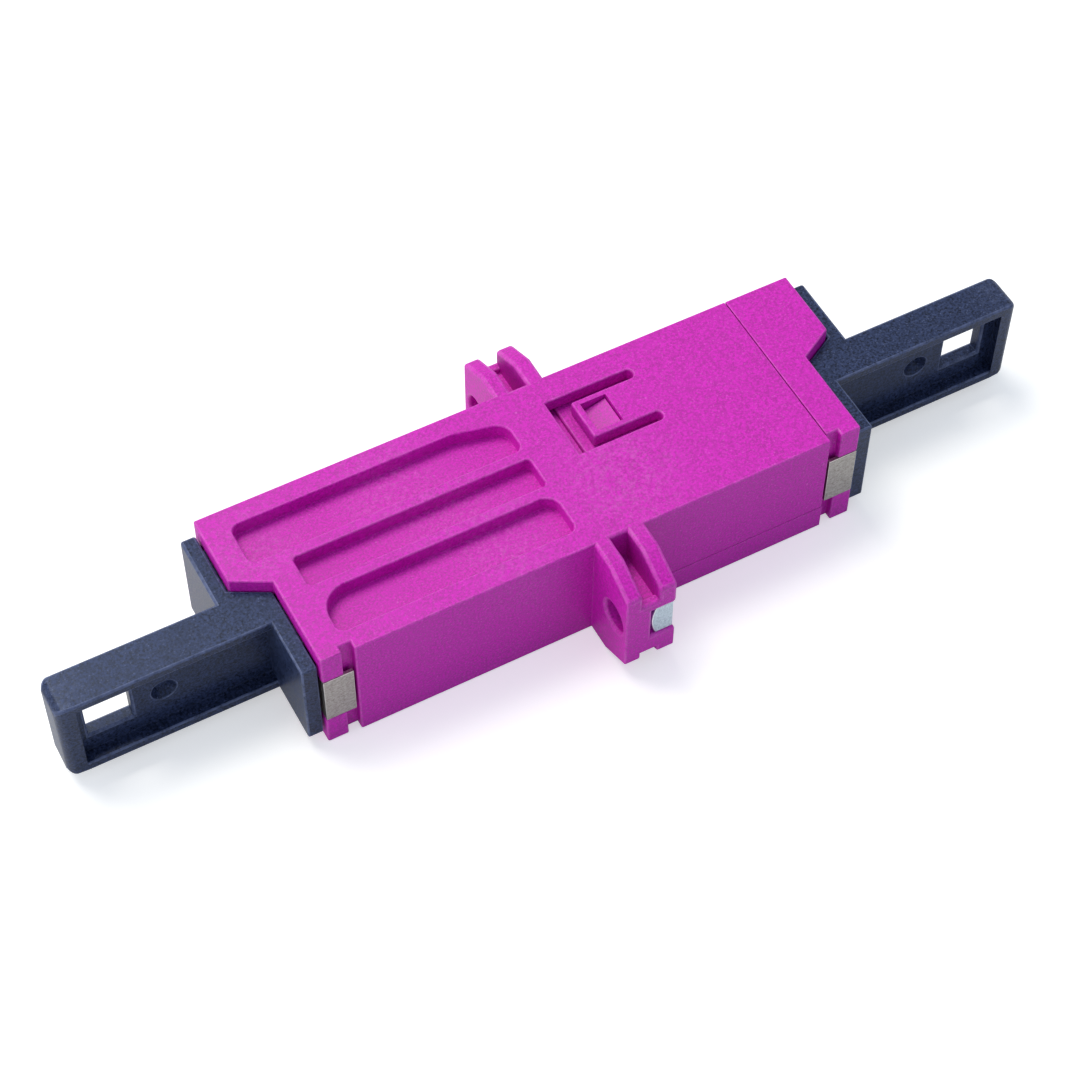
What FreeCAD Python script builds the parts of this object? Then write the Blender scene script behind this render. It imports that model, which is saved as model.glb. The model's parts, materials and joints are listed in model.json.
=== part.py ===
import FreeCAD, Part
import Sketcher

import math
import os
import re

# A shuttered fibre optic adapter with a dust plug in each of its two sockets.
# The fibre axis runs along X, Z is up, and the origin is under the middle of the body.

# Driving dimensions, in millimetres.
DIMENSIONS = {
    # Body: the length is taken over the longer, far half of each end.
    "body_length": 41.7,
    "body_height": 8.7,
    "collar_width": 12.7,
    "shell_width": 12.9,
    "shell_reach": 16.3,
    "relief_length": 0.8,
    "relief_depth": 0.5,
    # Keyed ends: the near half of each end is set back behind a slanted step.
    "end_step": 2.36,
    "notch_far": 1.4,
    "notch_near": 0.1,
    # Sockets, their wider mouths and the wall between them.
    "socket_width": 10.0,
    "socket_wall": 1.6,
    "mouth_width": 11.0,
    "mouth_wall": 1.35,
    "mouth_floor": 17.2,
    "partition_left": 1.0,
    "partition_right": 1.4,
    # Bay in the right half of the housing, and the end insert that slides into it.
    "seam": 0.06,
    "slip_fit": 0.05,
    "bay_width": 11.1,
    "bay_wall": 1.0,
    "split_height": 2.0,
    "insert_start": 2.9,
    # Mounting flange with two slotted ears.
    "flange_back": 0.39,
    "flange_front": 3.07,
    "flange_width": 21.2,
    "ear_crest": 16.4,
    "ear_drop": 1.15,
    "ear_slot_start": 0.7,
    "ear_slot_end": 1.88,
    "ear_web": 3.5,
    "ear_end_wall": 0.65,
    "ear_dip": 1.1,
    "ear_lower_dip": 0.5,
    "hole_pitch": 18.0,
    "hole_radius": 1.1,
    # Threaded insert of an ear, a small square nut, and its seat.
    "thread_start": 1.4,
    "thread_length": 1.5,
    "thread_width": 2.9,
    "thread_height": 2.54,
    "thread_inner": 0.8,
    "thread_lead": 0.2,
    "thread_corner": 1.35,
    "thread_corner_length": 0.4,
    "thread_corner_reach": 2.05,
    # Three grooves in the top of the left half.
    "groove_depth": 1.0,
    "groove_stop": 0.75,
    "groove_edge": 5.0,
    "groove_rib": 0.8,
    "groove_middle": 2.3,
    "far_groove_reach": 19.1,
    "middle_groove_reach": 16.75,
    "near_groove_reach": 16.6,
    "groove_taper_length": 3.4,
    "groove_taper": 0.8,
    "groove_corner": 0.55,
    "groove_end_corner": 1.0,
    "middle_groove_corner": 0.3,
    "near_groove_corner": 1.8,
    # Snap tongue cut into the top of the right half, with a window for the insert's nub.
    "tongue_centre": 2.25,
    "tongue_width": 3.06,
    "tongue_tip": 3.59,
    "tongue_root": 8.2,
    "opening_start": 2.15,
    "opening_width": 4.5,
    "slot_end_flat": 0.04,
    "window_start": 4.05,
    "window_length": 1.8,
    "window_width": 2.3,
    "nub_play": 0.07,
    "nub_rise": 0.75,
    "nub_ramp": 0.45,
    # Sleeve that lines up the two ferrules, and the two halves of its holder.
    "sleeve_length": 11.4,
    "sleeve_outer": 1.6,
    "sleeve_inner": 1.25,
    "sleeve_slit": 0.3,
    "holder_reach": 6.4,
    "holder_lip": 0.55,
    "holder_outer": 2.2,
    "holder_inner": 1.72,
    "holder_mouth": 1.4,
    "holder_lead": 0.3,
    "holder_flange": 2.65,
    "holder_flange_length": 0.9,
    # Shutter clip: a bent strip pushed over the near wall of each mouth.
    "sheet": 0.25,
    "clip_back": 16.45,
    "clip_front": 18.45,
    "clip_inner_back": 17.25,
    "clip_height": 3.95,
    "clip_play": 0.05,
    "lug_start": 17.2,
    "lug_end": 18.0,
    "lug_reach": 4.3,
    # Shutter flap, its hinge pin and spring; the two angles, in degrees, are where the legs leave.
    "hinge_x": 17.6,
    "hinge_y": 4.65,
    "pin_radius": 0.3,
    "pin_hole": 0.34,
    "pin_seat": 0.31,
    "pin_length": 4.3,
    "knuckle_radius": 0.5,
    "knuckle_height": 0.65,
    "knuckle_span": 3.1,
    "flap_length": 9.4,
    "flap_root": 0.65,
    "flap_height": 4.8,
    "flap_corner": 0.6,
    "spring_wire": 0.1,
    "spring_radius": 0.42,
    "spring_height": 1.4,
    "spring_leg": 0.34,
    "spring_turns": 3.0,
    "spring_start": -136.0,
    "spring_finish": -90.0,
    # Dust plug: stepped flange, handle with a pocket on each side, and hollow core.
    "plug_height": 6.9,
    "plug_gap": 0.12,
    "plug_flange": 1.02,
    "plug_width": 12.15,
    "handle_end": 33.35,
    "handle_near": 1.95,
    "handle_far": 0.85,
    "handle_wall": 0.7,
    "handle_end_wall": 0.85,
    "handle_pocket": 0.92,
    "handle_corner": 0.6,
    "handle_join": 1.5,
    "slot_start": 28.6,
    "slot_end": 31.5,
    "slot_height": 2.7,
    "dimple_x": 26.5,
    "dimple_radius": 0.85,
    "dimple_depth": 0.45,
    "plug_near": 3.7,
    "plug_far": 4.6,
    "shoulder_start": 18.0,
    "shoulder_far": 5.25,
    "shoulder_height": 5.7,
    "core_tip": 12.6,
    "core_height": 4.7,
    "core_wall": 0.8,
    "core_floor": 18.6,
}

# Sign of X at each end of the adapter.
ENDS = {"left": "-", "right": ""}

# Sign of Y on each side: the near side carries the shutter hinges.
SIDES = {"near": "-", "far": ""}

MID_HEIGHT = "body_height / 2"
FAR_END = "body_length / 2"
NEAR_END = "body_length / 2 - end_step"
TOUCH = 1e-4

# The thin spring wire is drawn with flat sides, so that a coil stays light.
WIRE_SIDES = 8

doc = FreeCAD.newDocument("FibreAdapter")
sheet = doc.addObject("Spreadsheet::Sheet", "Sizes")
for row, (alias, size) in enumerate(DIMENSIONS.items(), start=1):
    sheet.set(f"A{row}", str(size))
    sheet.setAlias(f"A{row}", alias)
doc.recompute()


def cells(text):
    """The expression with every dimension's name pointing at its cell."""

    def to_cell(found):
        word = found.group()
        return f"Sizes.{word}" if word in DIMENSIONS else word

    return re.sub(r"[a-z_]+", to_cell, text)


def number(text):
    return float(sheet.evalExpression(cells(text)))


def at(sign, text):
    """A distance from the middle as a coordinate on one side of it."""
    return f"{sign}({text})"


def reach(sign, inner, outer):
    """Two distances from the middle as a span of coordinates, low end first."""
    if sign == "-":
        return f"-({outer})", f"-({inner})"
    return inner, outer


def about(middle, length):
    """A span of the given length about its middle."""
    return f"{middle} - ({length}) / 2", f"{middle} + ({length}) / 2"


def rectangle(first, second):
    (u_low, u_high), (v_low, v_high) = first, second
    return [(u_low, v_low), (u_high, v_low), (u_high, v_high), (u_low, v_high)]


def circle(centre, radius):
    return {"centre": centre, "radius": radius}


def tie(sketch, kind, geometry, position, text):
    """Holds a point's distance from the sketch's origin to an expression."""
    place = Sketcher.Constraint(kind, -1, 1, geometry, position, number(text))
    sketch.setExpression(f"Constraints[{sketch.addConstraint(place)}]", cells(text))


def add_polygon(sketch, corners):
    points = [FreeCAD.Vector(number(u), number(v), 0) for u, v in corners]
    first = sketch.GeometryCount
    count = len(points)
    for index, point in enumerate(points):
        sketch.addGeometry(Part.LineSegment(point, points[(index + 1) % count]))
    for index in range(count):
        following = first + (index + 1) % count
        sketch.addConstraint(Sketcher.Constraint("Coincident", first + index, 2, following, 1))
    for index, (u, v) in enumerate(corners):
        tie(sketch, "DistanceX", first + index, 1, u)
        tie(sketch, "DistanceY", first + index, 1, v)


def add_circle(sketch, centre, radius):
    u, v = centre
    middle = FreeCAD.Vector(number(u), number(v), 0)
    ring = sketch.addGeometry(Part.Circle(middle, FreeCAD.Vector(0, 0, 1), number(radius)))
    tie(sketch, "DistanceX", ring, 3, u)
    tie(sketch, "DistanceY", ring, 3, v)
    size = Sketcher.Constraint("Radius", ring, number(radius))
    sketch.setExpression(f"Constraints[{sketch.addConstraint(size)}]", cells(radius))


def draw(body, name, role, height, loops):
    """A sketch of closed loops at a height above one of the body's origin planes."""
    plane = next(item for item in body.Origin.OriginFeatures if item.Role == role)
    sketch = body.newObject("Sketcher::SketchObject", name)
    sketch.AttachmentSupport = [(plane, "")]
    sketch.MapMode = "FlatFace"
    sketch.setExpression("AttachmentOffset.Base.z", cells(height))
    for loop in loops:
        if isinstance(loop, dict):
            add_circle(sketch, **loop)
        else:
            add_polygon(sketch, loop)
    return sketch


def settle(body, feature, grows):
    """Recomputes, and stops if the feature changed nothing or failed."""
    before = body.Shape.Volume if body.Shape.Solids else 0.0
    doc.recompute()
    gain = body.Shape.Volume - before
    if not feature.isValid() or gain * (1 if grows else -1) <= TOUCH:
        raise RuntimeError(f"{body.Label}: {feature.Label} changed the volume by {gain:.4f}")


def prism(body, name, kind, role, span, *loops):
    """A Pad or a Pocket of the loops, over a span along X, Y or Z.

    The normal of the XZ plane points along -Y, so a span of Y is turned round there.
    """
    low, high = span
    if role == "XZ_Plane":
        low, high = f"-({high})", f"-({low})"
    sketch = draw(body, f"{name}Sketch", role, low if kind == "Pad" else high, loops)
    feature = body.newObject(f"PartDesign::{kind}", name)
    feature.Profile = sketch
    feature.setExpression("Length", cells(f"({high}) - ({low})"))
    settle(body, feature, kind == "Pad")


def pad_z(body, name, span, *loops):
    prism(body, name, "Pad", "XY_Plane", span, *loops)


def pad_y(body, name, span, *loops):
    prism(body, name, "Pad", "XZ_Plane", span, *loops)


def pad_x(body, name, span, *loops):
    prism(body, name, "Pad", "YZ_Plane", span, *loops)


def cut_z(body, name, span, *loops):
    prism(body, name, "Pocket", "XY_Plane", span, *loops)


def cut_y(body, name, span, *loops):
    prism(body, name, "Pocket", "XZ_Plane", span, *loops)


def cut_x(body, name, span, *loops):
    prism(body, name, "Pocket", "YZ_Plane", span, *loops)


def turn_x(body, name, kind, profile):
    """A Revolution or a Groove about the body's own X axis, from a profile of (x, radius) corners."""
    sketch = draw(body, f"{name}Sketch", "XY_Plane", "0", [profile])
    axis = next(item for item in body.Origin.OriginFeatures if item.Role == "X_Axis")
    feature = body.newObject(f"PartDesign::{kind}", name)
    feature.Profile = sketch
    feature.ReferenceAxis = (axis, [""])
    feature.Angle = 360
    settle(body, feature, kind == "Revolution")


def round_edges(body, name, radius, chosen):
    """Rounds the edges of the body so far that the test picks out."""
    base = body.Tip
    edges = [f"Edge{index}" for index, edge in enumerate(base.Shape.Edges, start=1) if chosen(edge)]
    feature = body.newObject("PartDesign::Fillet", name)
    feature.Base = (base, edges)
    feature.setExpression("Radius", cells(radius))
    doc.recompute()
    if not edges or not feature.isValid():
        raise RuntimeError(f"{body.Label}: {name} rounds no edge")


def along(axis, *places):
    """Picks the edges that run along one axis through any of the places in the other two."""
    others = [name for name in "XYZ" if name != axis]
    targets = [[number(text) for text in place] for place in places]

    def chosen(edge):
        box = edge.BoundBox
        if any(getattr(box, f"{name}Length") > TOUCH for name in others):
            return False
        spot = [getattr(box, f"{name}Min") for name in others]
        return any(math.dist(spot, target) < 10 * TOUCH for target in targets)

    return chosen


def new_body(label):
    body = doc.addObject("PartDesign::Body", label)
    body.Label = label
    return body


def on_fibre_axis(body):
    """Puts the body's own X axis on the fibre axis."""
    body.setExpression("Placement.Base.z", cells(MID_HEIGHT))


# Features that both ends of the adapter share.


def collar_corners(sign, start):
    """Plan of a collar from its inner end outwards, near side first, with its relief there.

    The far side is flush with the shell.
    """
    relief_side = "collar_width / 2 - relief_depth"
    relief_end = "shell_reach + relief_length"
    return [
        (at(sign, start), at("-", relief_side)),
        (at(sign, relief_end), at("-", relief_side)),
        (at(sign, relief_end), at("-", "collar_width / 2")),
        (at(sign, NEAR_END), at("-", "collar_width / 2")),
        (at(sign, NEAR_END), "notch_near"),
        (at(sign, FAR_END), "notch_far"),
        (at(sign, FAR_END), "shell_width / 2"),
        (at(sign, start), "shell_width / 2"),
    ]


def bore_socket(body, sign, start):
    """The socket from its inner end to the mouth, and the wider mouth itself."""
    socket = rectangle(about("0", "socket_width"), about(MID_HEIGHT, "body_height - 2 * socket_wall"))
    mouth = rectangle(about("0", "mouth_width"), about(MID_HEIGHT, "body_height - 2 * mouth_wall"))
    cut_x(body, "Socket", reach(sign, start, "mouth_floor"), socket)
    cut_x(body, "Mouth", reach(sign, "mouth_floor", FAR_END), mouth)


def seat_clip(body, sign):
    """Lets the shutter clip lie flush in the near wall of the mouth and round its front edge."""
    tall = about(MID_HEIGHT, "clip_height + 2 * clip_play")
    outer_face = "-collar_width / 2"
    outside = rectangle(reach(sign, "clip_back - clip_play", NEAR_END), tall)
    front = rectangle(reach(sign, "clip_front - sheet - clip_play", NEAR_END), tall)
    cut_y(body, "ClipSeat", (outer_face, f"{outer_face} + sheet"), outside)
    cut_y(body, "ClipEdge", (outer_face, "-mouth_width / 2"), front)


# Housing body


def housing_plan():
    """The left collar and the shell that runs from it to the seam on the right."""
    seam_x = "shell_reach - seam"
    side = "shell_width / 2"
    shell = [
        (seam_x, side),
        (seam_x, at("-", side)),
        ("-shell_reach", at("-", side)),
    ]
    return collar_corners("-", "shell_reach")[:-1] + shell


def add_ears(body):
    """The flange: a plate across the body, with slotted ears and a seat for each threaded insert."""
    half_width = "flange_width / 2"
    half_crest = "ear_crest / 2"
    low = "ear_drop"
    high = "body_height - ear_drop"
    flange = [
        (at("-", half_width), low),
        (at("-", half_crest), "0"),
        (half_crest, "0"),
        (half_width, low),
        (half_width, high),
        (half_crest, "body_height"),
        (at("-", half_crest), "body_height"),
        (at("-", half_width), high),
    ]
    pad_x(body, "Flange", ("-flange_back", "flange_front"), flange)
    slot_x = ("ear_slot_start", "ear_slot_end")
    slot_ceiling, slot_floor = about(MID_HEIGHT, "ear_web")
    seat_z = about(MID_HEIGHT, "thread_height + 2 * slip_fit")
    for side, sign in SIDES.items():
        slot_end = f"{half_width} - ear_end_wall"
        slot = rectangle(slot_x, reach(sign, "shell_width / 2", slot_end))
        dip = rectangle(slot_x, reach(sign, slot_end, half_width))
        cut_z(body, f"{side.title()}EarSlot", (slot_floor, "body_height"), slot)
        cut_z(body, f"{side.title()}EarLowerSlot", ("0", slot_ceiling), slot)
        cut_z(body, f"{side.title()}EarDip", (f"{high} - ear_dip", "body_height"), dip)
        cut_z(body, f"{side.title()}EarLowerDip", ("0", f"{low} + ear_lower_dip"), dip)
        seat_y = reach(sign, "(hole_pitch - thread_width) / 2 - slip_fit", half_width)
        seat = rectangle(seat_y, seat_z)
        cut_x(body, f"{side.title()}ThreadSeat", ("thread_start", "flange_front"), seat)
        hole = circle((at(sign, "hole_pitch / 2"), MID_HEIGHT), "hole_radius")
        cut_x(body, f"{side.title()}ScrewHole", ("-flange_back", "thread_start"), hole)


def cut_bay(body):
    """Hollows the right half for the end insert and takes away its lower side walls."""
    ceiling = "body_height - bay_wall"
    bay = rectangle(about("0", "bay_width"), ("socket_wall", ceiling))
    below = rectangle(about("0", "2 * shell_width"), ("-seam", "split_height + seam / 2"))
    cut_x(body, "Bay", ("partition_right", "shell_reach"), bay)
    cut_x(body, "BaseRoom", ("flange_front", "shell_reach"), below)
    bore = circle(("0", MID_HEIGHT), "holder_outer + slip_fit")
    cut_x(body, "HolderBore", ("-partition_left", "partition_right"), bore)


def cut_grooves(body):
    """Three parallel grooves in the top of the left half, divided by two ribs."""
    depth = ("body_height - groove_depth", "body_height")
    middle_edge = "groove_middle / 2"
    inner_edge = f"{middle_edge} + groove_rib"
    stop = "-groove_stop"
    taper_start = f"{stop} - groove_taper_length"
    taper_edge = "groove_edge - groove_taper"
    far = [
        ("-far_groove_reach", inner_edge),
        (stop, inner_edge),
        (stop, taper_edge),
        (taper_start, "groove_edge"),
        ("-far_groove_reach", "groove_edge"),
    ]
    middle = rectangle(("-middle_groove_reach", stop), about("0", "groove_middle"))
    near = rectangle(("-near_groove_reach", stop), ("-groove_edge", at("-", inner_edge)))
    cut_z(body, "FarGroove", depth, far)
    cut_z(body, "MiddleGroove", depth, middle)
    cut_z(body, "NearGroove", depth, near)
    large = ("-near_groove_reach", at("-", inner_edge))
    ends = [(stop, taper_edge), (stop, at("-", inner_edge))]
    plain = [corner for corner in far[:3] + far[4:] + near if corner not in [large, *ends]]
    round_edges(body, "GrooveCorners", "groove_corner", along("Z", *plain))
    round_edges(body, "GrooveEndCorners", "groove_end_corner", along("Z", *ends))
    round_edges(body, "MiddleGrooveCorners", "middle_groove_corner", along("Z", *middle))
    round_edges(body, "NearGrooveCorner", "near_groove_corner", along("Z", large))


def cut_tongue(body):
    """A U-shaped cut that leaves a springy tongue, and the window in the tongue."""
    top = ("body_height - bay_wall", "body_height")
    low, high = about("tongue_centre", "opening_width")
    tongue_low, tongue_high = about("tongue_centre", "tongue_width")
    opening = [
        ("opening_start", low),
        ("tongue_root", low),
        ("tongue_root", tongue_low),
        ("tongue_tip", tongue_low),
        ("tongue_tip", tongue_high),
        ("tongue_root", tongue_high),
        ("tongue_root", high),
        ("opening_start", high),
    ]
    window_x = ("window_start", "window_start + window_length")
    window = rectangle(window_x, about("tongue_centre", "window_width"))
    cut_z(body, "TongueCut", top, opening)
    cut_z(body, "TongueWindow", top, window)
    slot_ends = [opening[index] for index in (1, 2, 5, 6)]
    slot_rounding = "(opening_width - tongue_width) / 4 - slot_end_flat / 2"
    round_edges(body, "SlotEnds", slot_rounding, along("Z", *slot_ends))


def make_housing():
    body = new_body("housing_body")
    pad_z(body, "Shell", ("0", "body_height"), housing_plan())
    add_ears(body)
    bore_socket(body, "-", "partition_left")
    cut_bay(body)
    seat_clip(body, "-")
    cut_grooves(body)
    cut_tongue(body)
    return body


# End insert: the right collar, the base strip below the side seam, and the liner inside the bay


def make_end_insert():
    body = new_body("end_insert")
    base_x = ("flange_front + seam", "shell_reach")
    pad_z(body, "Collar", ("0", "body_height"), collar_corners("", "shell_reach"))
    base = rectangle(base_x, about("0", "shell_width"))
    pad_z(body, "Base", ("0", "split_height - seam / 2"), base)
    liner_top = "body_height - bay_wall - slip_fit"
    liner = rectangle(about("0", "bay_width - 2 * slip_fit"), ("socket_wall + slip_fit", liner_top))
    pad_x(body, "Liner", ("insert_start", "shell_reach"), liner)
    bore_socket(body, "", "insert_start")
    seat_clip(body, "")
    nub_start = "window_start + nub_play"
    nub_end = "window_start + window_length - nub_play"
    nub_top = f"{liner_top} + nub_rise"
    nub = [
        (nub_start, f"{liner_top} - slip_fit"),
        (nub_end, f"{liner_top} - slip_fit"),
        (nub_end, nub_top),
        (nub_start, f"{nub_top} - nub_ramp"),
    ]
    pad_y(body, "SnapNub", about("tongue_centre", "window_width - 2 * nub_play"), nub)
    return body


# Ferrule alignment


def make_sleeve():
    """A thin ceramic tube with a slit along its whole length."""
    body = new_body("alignment_sleeve")
    on_fibre_axis(body)
    centre = ("0", "0")
    length = about("0", "sleeve_length")
    pad_x(body, "Tube", length, circle(centre, "sleeve_outer"), circle(centre, "sleeve_inner"))
    slit = rectangle(about("0", "sleeve_slit"), ("0", "sleeve_outer + slip_fit"))
    cut_x(body, "Slit", length, slit)
    return body


def make_holder(end, seat):
    """One half of the sleeve holder: a flanged tube whose lip keeps the sleeve in and leads a ferrule to it."""
    sign = ENDS[end]
    body = new_body(f"sleeve_holder_{end}")
    on_fibre_axis(body)
    seat_face = f"{seat} + slip_fit"
    flange_end = f"{seat_face} + holder_flange_length"
    lip_start = "holder_reach - holder_lip"
    profile = [
        ("seam / 2", "holder_inner"),
        (lip_start, "holder_inner"),
        (lip_start, "holder_mouth"),
        ("holder_reach", "holder_mouth + holder_lead"),
        ("holder_reach", "holder_outer"),
        (flange_end, "holder_outer"),
        (flange_end, "holder_flange"),
        (seat_face, "holder_flange"),
        (seat_face, "holder_outer"),
        ("seam / 2", "holder_outer"),
    ]
    turn_x(body, "Holder", "Revolution", [(at(sign, x), radius) for x, radius in profile])
    return body


def make_threaded_insert(side):
    """A square nut for the mounting screw: turned corners, and a lead-in at each end of its bore."""
    sign = SIDES[side]
    body = new_body(f"threaded_insert_{side}")
    on_fibre_axis(body)
    body.setExpression("Placement.Base.y", cells(at(sign, "hole_pitch / 2")))
    start = "thread_start + slip_fit"
    end = f"{start} + thread_length"
    block = rectangle(about("0", "thread_width"), about("0", "thread_height"))
    pad_x(body, "Block", (start, end), block)
    corners = [
        (start, "thread_corner"),
        (f"{start} + thread_corner_length", "thread_corner_reach"),
        (start, "thread_corner_reach"),
    ]
    bore = [
        (start, "0"),
        (end, "0"),
        (end, "thread_inner + thread_lead"),
        (f"{end} - thread_lead", "thread_inner"),
        (f"{start} + thread_lead", "thread_inner"),
        (start, "thread_inner + thread_lead"),
    ]
    turn_x(body, "TurnedCorners", "Groove", corners)
    turn_x(body, "Bore", "Groove", bore)
    return body


# Shutter of one end


def make_clip(end):
    """A strip bent round the near wall of the mouth, with two lugs that carry the hinge pin."""
    sign = ENDS[end]
    body = new_body(f"{end}_shutter_clip")
    outer = "-collar_width / 2"
    inner = "-mouth_width / 2"
    strip = [
        ("clip_back", outer),
        ("clip_front", outer),
        ("clip_front", f"{inner} + sheet"),
        ("clip_inner_back", f"{inner} + sheet"),
        ("clip_inner_back", inner),
        ("clip_front - sheet", inner),
        ("clip_front - sheet", f"{outer} + sheet"),
        ("clip_back", f"{outer} + sheet"),
    ]
    strip = [(at(sign, x), y) for x, y in strip]
    low, high = about(MID_HEIGHT, "clip_height")
    pad_z(body, "Strip", (low, high), strip)
    lug = rectangle(reach(sign, "lug_start", "lug_end"), (f"{inner} + sheet / 2", "-lug_reach"))
    pad_z(body, "LowerLug", (low, f"{low} + sheet"), lug)
    pad_z(body, "UpperLug", (f"{high} - sheet", high), lug)
    pin_hole = circle((at(sign, "hinge_x"), "-hinge_y"), "pin_seat")
    cut_z(body, "PinSeats", (low, high), pin_hole)
    return body


def make_pin(end):
    body = new_body(f"{end}_shutter_pin")
    axis = circle((at(ENDS[end], "hinge_x"), "-hinge_y"), "pin_radius")
    pad_z(body, "Pin", about(MID_HEIGHT, "pin_length"), axis)
    return body


def make_flap(end):
    """The sheet flap, folded back along the near wall by the plug, with two knuckles on the pin."""
    sign = ENDS[end]
    body = new_body(f"{end}_shutter_flap")
    root = "hinge_x - flap_root"
    tip = "hinge_x - flap_length"
    low, high = about(MID_HEIGHT, "flap_height")
    outline = rectangle(reach(sign, tip, root), (low, high))
    thick = about("-hinge_y", "sheet")
    pad_y(body, "Leaf", thick, outline)
    round_edges(body, "LeafCorners", "flap_corner", along_tip(sign, tip, low, high))
    span_low, span_high = about(MID_HEIGHT, "knuckle_span")
    knuckles = {
        "Lower": (span_low, f"{span_low} + knuckle_height"),
        "Upper": (f"{span_high} - knuckle_height", span_high),
    }
    centre = (at(sign, "hinge_x"), "-hinge_y")
    for name, height in knuckles.items():
        strap = rectangle(reach(sign, f"{root} - sheet", "hinge_x"), height)
        pad_y(body, f"{name}Strap", thick, strap)
        pad_z(body, f"{name}Knuckle", height, circle(centre, "knuckle_radius"))
    cut_z(body, "PinHole", (span_low, span_high), circle(centre, "pin_hole"))
    return body


def along_tip(sign, tip, low, high):
    """Picks the two corner edges, across the sheet, at the flap's free end."""
    return along("Y", (at(sign, tip), low), (at(sign, tip), high))


def make_spring(end):
    """A torsion spring on the pin: one leg bears on the clip, the other on the back of the flap."""
    wire = number("spring_wire")
    radius = number("spring_radius")
    height = number("spring_height")
    leg = number("spring_leg")
    start_angle = number("spring_start")
    turns = number("spring_turns + (spring_finish - spring_start) / 360")
    coil = Part.makeHelix(height / turns, height, radius)
    climb = height / turns / (2 * math.pi * radius)
    first = coil.Edges[0]
    last = coil.Edges[-1]
    start = first.valueAt(first.FirstParameter)
    finish = last.valueAt(last.LastParameter)
    finish_angle = math.atan2(finish.y, finish.x)
    start_way = FreeCAD.Vector(0, 1, climb).normalize()
    finish_way = FreeCAD.Vector(-math.sin(finish_angle), math.cos(finish_angle), climb).normalize()
    path = [
        Part.LineSegment(start - start_way * leg, start).toShape(),
        *coil.Edges,
        Part.LineSegment(finish, finish + finish_way * leg).toShape(),
    ]
    outwards = FreeCAD.Vector(wire, 0, 0)
    steps = [FreeCAD.Rotation(start_way, 360 * side / WIRE_SIDES) for side in range(WIRE_SIDES + 1)]
    section = Part.makePolygon([start - start_way * leg + step.multVec(outwards) for step in steps])
    spring = Part.Wire(path).makePipeShell([section], True, True)
    if ENDS[end] == "-":
        spring = spring.mirror(FreeCAD.Vector(0, 0, 0), FreeCAD.Vector(1, 0, 0))
        start_angle = -start_angle
    low = number(MID_HEIGHT) - height / 2
    hinge = FreeCAD.Vector(number(at(ENDS[end], "hinge_x")), number("-hinge_y"), low)
    piece = doc.addObject("Part::Feature", f"{end}_shutter_spring")
    piece.Shape = spring
    piece.Placement = FreeCAD.Placement(hinge, FreeCAD.Rotation(FreeCAD.Vector(0, 0, 1), start_angle))
    return piece


# Dust plug


def make_plug(end):
    """One moulding: stepped flange, handle with a pocket on each side, shoulder and hollow core."""
    sign = ENDS[end]
    body = new_body(f"{end}_dust_plug")
    low, high = about(MID_HEIGHT, "plug_height")
    near_in = f"{NEAR_END} + plug_gap"
    near_out = f"{near_in} + plug_flange"
    far_in = f"{FAR_END} + plug_gap"
    far_out = f"{far_in} + plug_flange"
    side = "plug_width / 2"

    def mirrored(corners):
        return [(at(sign, x), y) for x, y in corners]

    flange = [
        (near_in, at("-", side)),
        (near_out, at("-", side)),
        (near_out, "notch_near"),
        (far_out, "notch_far"),
        (far_out, side),
        (far_in, side),
        (far_in, "notch_far"),
        (near_in, "notch_near"),
    ]
    handle = [
        (f"{near_out} - seam", "-handle_near"),
        ("handle_end", "-handle_near"),
        ("handle_end", "handle_far"),
        (f"{far_out} - handle_join", "handle_far"),
        (f"{near_out} - seam", "notch_near"),
    ]
    shoulder = [
        ("shoulder_start", "-plug_near"),
        (near_in, "-plug_near"),
        (near_in, "notch_near"),
        (far_in, "notch_far"),
        (far_in, "shoulder_far"),
        ("shoulder_start", "shoulder_far"),
    ]
    pad_z(body, "Flange", (low, high), mirrored(flange))
    pad_z(body, "Handle", (low, high), mirrored(handle))
    round_edges(body, "HandleEnd", "handle_corner", end_face(at(sign, "handle_end")))
    pocket_z = (f"{low} + handle_wall", f"{high} - handle_wall")
    pocket_end = "handle_end - handle_end_wall"
    near_pocket = rectangle(reach(sign, near_out, pocket_end), pocket_z)
    far_pocket = rectangle(reach(sign, far_out, pocket_end), pocket_z)
    web_near = "-handle_near + handle_pocket"
    cut_y(body, "NearPocket", ("-handle_near", web_near), near_pocket)
    cut_y(body, "FarPocket", ("handle_far - handle_pocket", "handle_far"), far_pocket)
    slot = rectangle(reach(sign, "slot_start", "slot_end"), about(MID_HEIGHT, "slot_height"))
    cut_y(body, "Slot", ("-handle_near", "handle_far"), slot)
    dimple = circle((at(sign, "dimple_x"), MID_HEIGHT), "dimple_radius")
    cut_y(body, "Dimple", (web_near, f"{web_near} + dimple_depth"), dimple)
    pad_z(body, "Shoulder", about(MID_HEIGHT, "shoulder_height"), mirrored(shoulder))
    core = rectangle(("-plug_near", "plug_far"), about(MID_HEIGHT, "core_height"))
    hollow_y = ("-plug_near + core_wall", "plug_far - core_wall")
    hollow = rectangle(hollow_y, about(MID_HEIGHT, "core_height - 2 * core_wall"))
    pad_x(body, "Core", reach(sign, "core_tip", "shoulder_start"), core)
    cut_x(body, "CoreHollow", reach(sign, "core_tip", "core_floor"), hollow)
    return body


def end_face(x):
    """Picks the edges that lie in the plane of an end face."""
    place = number(x)

    def chosen(edge):
        box = edge.BoundBox
        return abs(box.XMin - place) < TOUCH and abs(box.XMax - place) < TOUCH

    return chosen


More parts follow.
